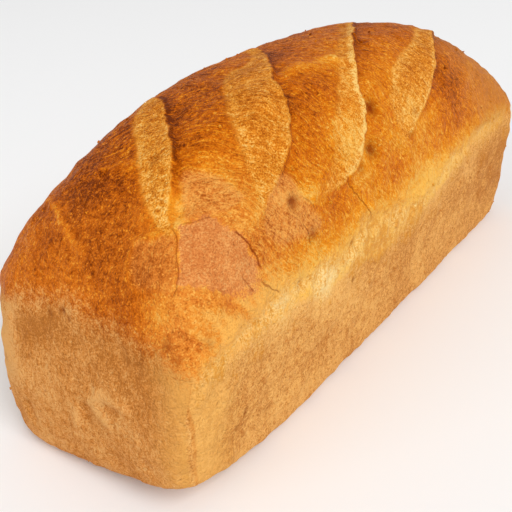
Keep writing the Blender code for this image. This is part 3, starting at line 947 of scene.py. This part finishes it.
    def held_walls(self, tone):
        """The walls the tin held: matt and mottled, darker on the ends."""
        put, marks = self.put, self.marks
        mottle = self.weighed(marks["wallheat"], blotch=1.1, grain=2.4, speck=1.3, fleck=0.5, rubbed=0.7)
        mottle = put("Math", {0: mottle, 1: 0.5}, operation="ADD")
        mottle = put("Math", {0: self.bright, 1: -0.12, 2: mottle}, operation="MULTIPLY_ADD")
        side = put("ValToRGB", {"Fac": mottle}, self.tones("side_pale", "side_tan", "side_brown"))
        end = put("ValToRGB", {"Fac": mottle}, self.tones("end_pale", "end_tan", "end_brown"))
        wall = put("Mix", {"Factor": marks["endwall"], "A": side, "B": end}, **IN_COLOUR)
        wall = self.sharp_corner(wall)
        held = self.weighed(marks["above"], blotch=7.0, speck=6.0, grain=5.0)
        self.held = put("MapRange", {"Value": held, "From Min": 2.0, "From Max": -3.0}, **SOFTLY)
        return put("Mix", {"Factor": self.held, "A": tone, "B": wall}, **IN_COLOUR)

    def sharp_corner(self, wall):
        """Painted light along the sharp corner: a gold strip on the long wall beside it, a tan strip on the
        end wall beside it, and a thin browner line of painted shade between them."""
        put, corner = self.put, self.marks["corner"]
        round_corner = self.weighed(corner, blotch=14.0, speck=5.0)
        fade = {"Value": round_corner, "From Min": 28.0, "From Max": 8.0, "To Max": 0.6}
        near = put("MapRange", fade, **SOFTLY)
        edge = put("MapRange", {"Value": corner, "From Min": 0.3, "From Max": 1.8}, **SOFTLY)
        near = put("Math", {0: near, 1: edge}, operation="MULTIPLY")
        wall = put("Mix", {"Factor": near, "A": wall, "B": self.look["corner_gold"]}, **IN_COLOUR)
        fade = {"Value": round_corner, "From Min": -24.0, "From Max": -4.0, "To Max": 0.8}
        strip = put("MapRange", fade, **SOFTLY)
        edge = put("MapRange", {"Value": corner, "From Min": -0.6, "From Max": -2.5}, **SOFTLY)
        strip = put("Math", {0: strip, 1: edge}, operation="MULTIPLY")
        wall = put("Mix", {"Factor": strip, "A": wall, "B": self.look["corner_tan"]}, **IN_COLOUR)
        line = put("Math", {0: corner, 1: 0.4}, operation="SUBTRACT")
        line = put("Math", {0: line}, operation="ABSOLUTE")
        fade = {"Value": line, "From Min": 1.2, "From Max": 0.2, "To Max": 0.45}
        line = put("MapRange", fade, **SOFTLY)
        return put("Mix", {"Factor": line, "A": wall, "B": self.look["corner_line"]}, **IN_COLOUR)

    def torn_ledge(self, tone):
        """The ledge above the tin's rim on the long sides: pale torn dough in ragged upright fibres."""
        put, marks = self.put, self.marks
        torn = self.weighed(marks["ledge"], rubbed=16.0, speck=14.0, blotch=20.0)
        torn = put("MapRange", {"Value": torn, "From Min": -3.0, "From Max": 5.5, "To Max": 0.9}, **SOFTLY)
        shred = self.weighed(marks["wallheat"], grain=2.6, rubbed=2.6, blotch=1.6, speck=1.6)
        shred = put("Math", {0: shred, 1: 0.5}, operation="ADD")
        shred = put("ValToRGB", {"Fac": shred}, self.tones("shred_pale", "shred_gold", "shred_amber"))
        return put("Mix", {"Factor": torn, "A": tone, "B": shred}, **IN_COLOUR)

    def scorch_and_cracks(self, tone):
        """Painted shade in the pits and in the gaps of the cracks, which both take light from what is there.
        """
        put, marks = self.put, self.marks
        # Painted shade darkens each pit and knock.
        pit_shade_share = put("Math", {0: marks["scorch"], 1: 0.9}, operation="MULTIPLY")
        darker = {"blend_type": "MULTIPLY", **IN_COLOUR}
        tone = put("Mix", {"Factor": pit_shade_share, "A": tone, "B": self.look["scorched"]}, **darker)
        off_line = put("Math", {0: marks["crack_side"]}, operation="ABSOLUTE")
        off_line = self.weighed(off_line, grain=1.2)
        # Painted shade: each crack's gap is drawn as a thin dark line.
        gap = put("MapRange", {"Value": off_line, "From Min": 0.45, "From Max": 0.1}, **SOFTLY)
        self.gap = put("Math", {0: gap, 1: marks["crack_show"]}, operation="MULTIPLY", use_clamp=True)
        return put("Mix", {"Factor": self.gap, "A": tone, "B": self.look["gap"]}, **darker)

    def dullness(self):
        """The air-baked crust is slightly glazed; the held walls and the torn dough are dull."""
        dull = self.weighed(0.5, grain=0.3, speck=0.2)
        dull = self.put("Math", {0: self.held, 1: 0.28, 2: dull}, operation="MULTIPLY_ADD")
        return self.put("Math", {0: self.opened, 1: 0.08, 2: dull}, operation="MULTIPLY_ADD")

    def fine_relief(self):
        """Relief under a millimetre, in millimetres: stretch marks, grain, flecks and cracks."""
        height = self.weighed(0.0, grain=0.65, speck=1.15, fleck=0.45)
        for share, rise in ((self.drawn, 0.8), (self.bright, 0.12), (self.gap, -0.2), (self.peeled, -0.25)):
            height = self.put("Math", {0: share, 1: rise, 2: height}, operation="MULTIPLY_ADD")
        return self.put("Bump", {"Height": height, "Distance": MM, "Strength": 1.0})


def crust_material(look):
    """Wheat crust baked in an open tin: browned and faintly shiny where the air reached it, paler and
    dull where the tin held it. Dry, browned starch mirrors little, and warmly."""
    material = bpy.data.materials.new("baked_wheat_crust")
    material.use_nodes = True
    tree = material.node_tree
    shader = tree.nodes["Principled BSDF"]
    crust = CrustNodes(tree, look)
    tone = crust.free_crust()
    for surface in (crust.opened_dough, crust.peeled_patch, crust.held_walls, crust.torn_ledge,
                    crust.scorch_and_cracks):
        tone = surface(tone)
    tree.links.new(tone, shader.inputs["Base Color"])
    tree.links.new(crust.dullness(), shader.inputs["Roughness"])
    tree.links.new(crust.fine_relief(), shader.inputs["Normal"])
    shader.inputs["IOR"].default_value = 1.5
    shader.inputs["Specular IOR Level"].default_value = 0.10
    shader.inputs["Specular Tint"].default_value = look["glaze"]
    return material


def card_material(colour):
    """A plain matt white card, with the faint 3 mm mottle of its pressed paper."""
    material = bpy.data.materials.new("matt_white_card")
    material.use_nodes = True
    tree = material.node_tree
    shader = tree.nodes["Principled BSDF"]
    place = add(tree, "TexCoord", out="Object")
    fibre = add(tree, "TexNoise", {"Vector": place, "Scale": 1 / (3 * MM), "Detail": 2.0}, out="Fac")
    dull = add(tree, "MapRange", {"Value": fibre, "To Min": 0.88, "To Max": 0.96})
    tree.links.new(dull, shader.inputs["Roughness"])
    shader.inputs["Base Color"].default_value = colour
    return material


# ---------------------------------------------------------------- meshes and objects


def mesh_object(name, points, faces, material):
    """An object at the origin from points in metres and its faces, smooth shaded."""
    mesh = bpy.data.meshes.new(name)
    mesh.from_pydata(points, [], faces)
    mesh.validate()
    mesh.shade_smooth()
    mesh.materials.append(material)
    made = bpy.data.objects.new(name, mesh)
    bpy.context.scene.collection.objects.link(made)
    return made


def carry(mesh, name, values):
    """Stores one number, or one vector, for each point of a mesh."""
    kind, field = ("FLOAT", "value") if values.ndim == 1 else ("FLOAT_VECTOR", "vector")
    layer = mesh.attributes.new(name, kind, "POINT")
    layer.data.foreach_set(field, values.astype(np.float32).ravel())


def aimed(name, thing, place, target):
    """An object at a place, with its -Z axis towards a target."""
    made = bpy.data.objects.new(name, thing)
    made.location = place
    made.rotation_euler = (Vector(place) - Vector(target)).to_track_quat("Z", "Y").to_euler()
    bpy.context.scene.collection.objects.link(made)
    return made


# ---------------------------------------------------------------- settings


def colour(name, description, code):
    """A colour that the user can change, from its sRGB hex."""
    return bpy.props.FloatVectorProperty(
        name=name, description=description, default=linear(code), size=4, subtype="COLOR", min=0.0, max=1.0
    )


def length(name, description, default):
    """A length that the user can change, in metres."""
    return bpy.props.FloatProperty(
        name=name, description=description, default=default, unit="LENGTH", min=0.0
    )


class CrustColours(bpy.types.PropertyGroup):
    """The crust's colours, from where the air browned it to where the tin kept it pale."""

    crust_gold: colour("Golden crust", "The palest free crust, just above the rim", "F8BE58")
    crust_honey: colour("Honey crust", "Lightly browned crust", "EC941E")
    crust_amber: colour("Amber crust", "Crust of middling brownness", "D6700E")
    crust_brown: colour("Brown crust", "Well browned crust", "B25406")
    crust_dark: colour("Dark crust", "The darkest crust, on the crest and in the valleys", "6E2C02")
    crust_dusty: colour("Dusty crust", "The duller crust of the far end", "C8843C")
    thin_light: colour("Light thin skin", "The palest crust where its skin is thin", "F0A654")
    thin_skin: colour("Thin skin", "Pinker crust where its skin is thin", "DA863C")
    thin_brown: colour("Brown thin skin", "Browned grain where the skin is thin", "A8561C")
    # Along the ridges this colour is partly a painted highlight.
    opened_pale: colour("Pale opening", "Opened dough along a ridge", "FFD078")
    opened_gold: colour("Golden opening", "Opened dough between ridge and border", "EE9E36")
    opened_tan: colour("Tan opening", "The darkest opened dough", "CC741A")
    opened_brown: colour("Brown opening", "Browned fibres of the opened dough", "A2500C")
    peeled_light: colour("Light peel", "Paler parts of the peeled patch", "ECA660")
    peeled: colour("Peel", "The peeled patch", "DA8644")
    peeled_brown: colour("Brown peel", "Browned grain of the peeled patch", "C06A32")
    shred_pale: colour("Pale shred", "The palest torn dough at the rim", "FFE09E")
    shred_gold: colour("Golden shred", "Torn dough at the rim", "F2BA62")
    shred_amber: colour("Amber shred", "Browned fibres of the torn dough", "E0983C")
    side_pale: colour("Pale side", "Pale grain of the long walls", "F6BC6C")
    side_tan: colour("Tan side", "The long walls", "E2A054")
    side_brown: colour("Brown side", "Brown grain of the long walls", "BC7432")
    end_pale: colour("Pale end", "Pale grain of the end walls", "E2A662")
    end_tan: colour("Tan end", "The end walls", "D28A44")
    end_brown: colour("Brown end", "Brown grain of the end walls", "B26C2C")
    # The three corner colours are painted light and shade along the sharp corner.
    corner_gold: colour("Golden corner", "The long wall beside the sharp corner", "F0B25C")
    corner_tan: colour("Tan corner", "The end wall beside the sharp corner", "DEA050")
    corner_line: colour("Corner line", "The thin line along the sharp corner", "D0802E")
    # Painted shade in the pits and knocks.
    scorched: colour("Scorch", "What scorching leaves of the light in pits and knocks", "985A2A")
    glaze: colour("Glaze", "The tint of the crust's faint shine", "FFA850")
    # Painted shade in the cracks.
    gap: colour("Crack", "What a crack leaves of the light", "A05C28")


class CrustSettings(bpy.types.PropertyGroup):
    """Sizes of the crust's relief, and how finely its skin is cut."""

    ridge_height: length("Ridge height", "How high a slash's ridge stands over the dome", 2.0 * MM)
    valley_depth: length("Valley depth", "How deep the crust drops beyond a ridge", 1.2 * MM)
    peel_depth: length("Peel depth", "Thickness of the crust that peeled off the patch", 0.6 * MM)
    lump_height: length("Lump height", "Height of the broad unevenness", 0.55 * MM)
    steps_along: bpy.props.IntProperty(
        name="Steps along", description="Grid steps along the loaf, a multiple of 8",
        default=280, min=16, max=280
    )
    steps_across: bpy.props.IntProperty(
        name="Steps across", description="Grid steps across the dome, a multiple of 8",
        default=176, min=16, max=176
    )
    wall_rows: bpy.props.IntProperty(
        name="Wall rows", description="Rows of faces between the base's rounding and the rim",
        default=36, min=4, max=36
    )
    colours: bpy.props.PointerProperty(type=CrustColours)


class CrumbSettings(bpy.types.PropertyGroup):
    """The small crumbs that cling to the crust."""

    count: bpy.props.IntProperty(
        name="Count", description="How many crumbs cling to the loaf", default=240, min=1, max=2000
    )
    smallest: length("Smallest", "Radius of the smallest crumb", 0.25 * MM)
    largest: length("Largest", "Radius of the largest crumb", 0.75 * MM)


class StageSettings(bpy.types.PropertyGroup):
    """The floor, the lights and the camera's lens."""

    card: colour("Card", "The floor's colour", "F5F5F5")
    floor_size: length("Floor size", "Length of the floor's edge", 40.0)
    key_power: bpy.props.FloatProperty(
        name="Key light", description="Power of the large main light", default=290.0, min=0.0, unit="POWER"
    )
    fill_power: bpy.props.FloatProperty(
        name="Fill light", description="Power of the light opposite the main one",
        default=44.0, min=0.0, unit="POWER"
    )
    sky: bpy.props.FloatProperty(
        name="Sky", description="Strength of the even light all round", default=0.55, min=0.0
    )
    lens: bpy.props.FloatProperty(
        name="Lens", description="Focal length", default=LENS, unit="CAMERA", min=1.0
    )


# ---------------------------------------------------------------- operators


class LOAF_OT_bake_loaf(bpy.types.Operator):
    """Builds the loaf's skin, with its slashes, peeled patch, cracks and pits"""

    bl_idname = "loaf.bake_loaf"
    bl_label = "Bake the loaf"

    def execute(self, context):
        crust = context.scene.loaf_crust
        skin = Skin(crust.steps_along, crust.steps_across, crust.wall_rows, ROUNDING_ROWS, BASE_STEP)
        marks = build_marks(skin, Sheet(), crust)
        normal = skin.normals(skin.points)
        normal[skin.is_base] = (0.0, 0.0, -1.0)
        low, high = skin.points.min(axis=0), skin.points.max(axis=0)
        points = skin.points + normal * marks["relief"][:, None]
        points -= ((low[0] + high[0]) / 2, (low[1] + high[1]) / 2, low[2])
        points[:, 2] = np.maximum(points[:, 2], 0.0)
        look = {name: tuple(getattr(crust.colours, name)) for name in CrustColours.__annotations__}
        loaf = mesh_object("tin_loaf", points * MM, skin.quads.tolist() + skin.strip, crust_material(look))
        for name in MARKS + ("lay",):
            carry(loaf.data, name, marks[name])
        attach(loaf, "root")
        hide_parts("loaf")
        return {"FINISHED"}


class LOAF_OT_scatter_crumbs(bpy.types.Operator):
    """Scatters crumbs over the crust and along the base, each half sunk in it"""

    bl_idname = "loaf.scatter_crumbs"
    bl_label = "Scatter crumbs"

    def execute(self, context):
        """A crumb is a ball of 24 quads, each corner pushed in or out by up to 30% and the whole
        squashed and turned at random. It takes the marks of the crust it sits on."""
        settings, loaf = context.scene.loaf_crumbs, context.scene.objects.get("tin_loaf")
        if loaf is None:
            raise RuntimeError("bake the loaf before its crumbs")
        size = len(loaf.data.vertices)
        spots, normals = np.empty(3 * size, np.float32), np.empty(3 * size, np.float32)
        loaf.data.vertices.foreach_get("co", spots)
        loaf.data.vertices.foreach_get("normal", normals)
        spots, normals = spots.reshape(-1, 3) / MM, normals.reshape(-1, 3)
        height, (ground, base_top) = spots[:, 2], CRUMB_BASE
        chance = np.where(height > CRUMB_RIM, CRUMB_SHARES["crust"], CRUMB_SHARES["wall"])
        chance[(height > ground) & (height < base_top)] = CRUMB_SHARES["base"]
        chance[height < ground] = 0.0
        random = np.random.default_rng(CRUMB_SEED)
        count = settings.count
        picked = random.choice(size, count, replace=False, p=chance / chance.sum())
        ball, quads = rounded_cube()
        radius = settings.smallest + (settings.largest - settings.smallest) * random.random(count) ** 2
        radius = (radius / MM)[:, None, None]
        shapes = ball * (1.0 + 0.3 * random.uniform(-1.0, 1.0, (count, len(ball), 1)))
        shapes = shapes * random.uniform(0.6, 1.3, (count, 1, 3)) * radius
        turns, _ = np.linalg.qr(random.normal(size=(count, 3, 3)))
        shapes = np.einsum("nij,nkj->nki", turns, shapes)
        centres = spots[picked] + normals[picked] * radius[:, 0] * 0.35
        points = (centres[:, None] + shapes).reshape(-1, 3)
        points[:, 2] = np.maximum(points[:, 2], 0.2)
        faces = (quads[None] + len(ball) * np.arange(count)[:, None, None]).reshape(-1, 4)
        crumbs = mesh_object("crust_crumbs", points * MM, faces.tolist(), loaf.data.materials[0])
        for name in MARKS:
            layer = np.empty(size, np.float32)
            loaf.data.attributes[name].data.foreach_get("value", layer)
            mark = layer[picked]
            if name == "bake":
                mark = np.clip(mark + random.uniform(-0.4, 0.2, count), 0.0, 1.0)
            carry(crumbs.data, name, np.repeat(mark * (name != "crack_show"), len(ball)))
        carry(crumbs.data, "lay", points)
        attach(crumbs, "root")
        return {"FINISHED"}


class LOAF_OT_set_stage(bpy.types.Operator):
    """Lays the pale floor and sets the soft lights and the camera"""

    bl_idname = "loaf.set_stage"
    bl_label = "Set the stage"

    def execute(self, context):
        stage = context.scene.loaf_stage
        half = stage.floor_size / 2
        corners = [(-half, -half, 0.0), (half, -half, 0.0), (half, half, 0.0), (-half, half, 0.0)]
        mesh_object("floor", corners, [(0, 1, 2, 3)], card_material(tuple(stage.card)))
        self.set_camera(context, stage.lens)
        for name, (place, size), power in (
            ("key_light", KEY_LIGHT, stage.key_power),
            ("fill_light", FILL_LIGHT, stage.fill_power),
        ):
            light = bpy.data.lights.new(name, "AREA")
            light.size, light.energy = size, power
            aimed(name, light, place, LOAF_MIDDLE)
        world = bpy.data.worlds.new("pale_studio")
        world.use_nodes = True
        world.node_tree.nodes["Background"].inputs["Strength"].default_value = stage.sky
        world.node_tree.nodes["Background"].inputs["Color"].default_value = linear("FFFFFF")
        context.scene.world = world
        context.scene.view_settings.view_transform = "Standard"
        return {"FINISHED"}

    def set_camera(self, context, lens):
        """The camera looks back along its heading and elevation at the aim, rolled a little."""
        heading, elevation, roll = (math.radians(a) for a in (CAMERA_HEADING, CAMERA_ELEVATION, CAMERA_ROLL))
        level = math.cos(elevation)
        back = Vector((-math.sin(heading) * level, -math.cos(heading) * level, math.sin(elevation)))
        right = Vector((math.cos(heading), -math.sin(heading), 0.0))
        up = back.cross(right)
        rolled_right = right * math.cos(roll) + up * math.sin(roll)
        rolled_up = up * math.cos(roll) - right * math.sin(roll)
        data = bpy.data.cameras.new("camera")
        data.sensor_width, data.lens, data.clip_start = SENSOR, lens, 0.01
        camera = bpy.data.objects.new("camera", data)
        camera.matrix_world = Matrix((rolled_right, rolled_up, back)).transposed().to_4x4()
        camera.location = Vector(CAMERA_AIM) + back * CAMERA_DISTANCE
        context.scene.collection.objects.link(camera)
        context.scene.camera = camera


class LOAF_PT_panel(bpy.types.Panel):
    """Lists the loaf's operators and settings"""

    bl_idname = "LOAF_PT_panel"
    bl_label = "Tin loaf"
    bl_space_type = "VIEW_3D"
    bl_region_type = "UI"
    bl_category = "Tin loaf"

    def draw(self, context):
        for operator in OPERATORS:
            self.layout.operator(operator.bl_idname)
        scene = context.scene
        for group in (scene.loaf_crust, scene.loaf_crust.colours, scene.loaf_crumbs, scene.loaf_stage):
            box = self.layout.box()
            for name in type(group).__annotations__:
                if name != "colours":
                    box.prop(group, name)


OPERATORS = (LOAF_OT_bake_loaf, LOAF_OT_scatter_crumbs, LOAF_OT_set_stage)
CLASSES = (CrustColours, CrustSettings, CrumbSettings, StageSettings) + OPERATORS + (LOAF_PT_panel,)


def register():
    for cls in CLASSES:
        bpy.utils.register_class(cls)
    bpy.types.Scene.loaf_crust = bpy.props.PointerProperty(type=CrustSettings)
    bpy.types.Scene.loaf_crumbs = bpy.props.PointerProperty(type=CrumbSettings)
    bpy.types.Scene.loaf_stage = bpy.props.PointerProperty(type=StageSettings)


def unregister():
    del bpy.types.Scene.loaf_stage, bpy.types.Scene.loaf_crumbs, bpy.types.Scene.loaf_crust
    for cls in reversed(CLASSES):
        bpy.utils.unregister_class(cls)


def main():
    register()
    bpy.ops.loaf.bake_loaf()
    bpy.ops.loaf.scatter_crumbs()
    bpy.ops.loaf.set_stage()


if __name__ == "__main__":
    main()
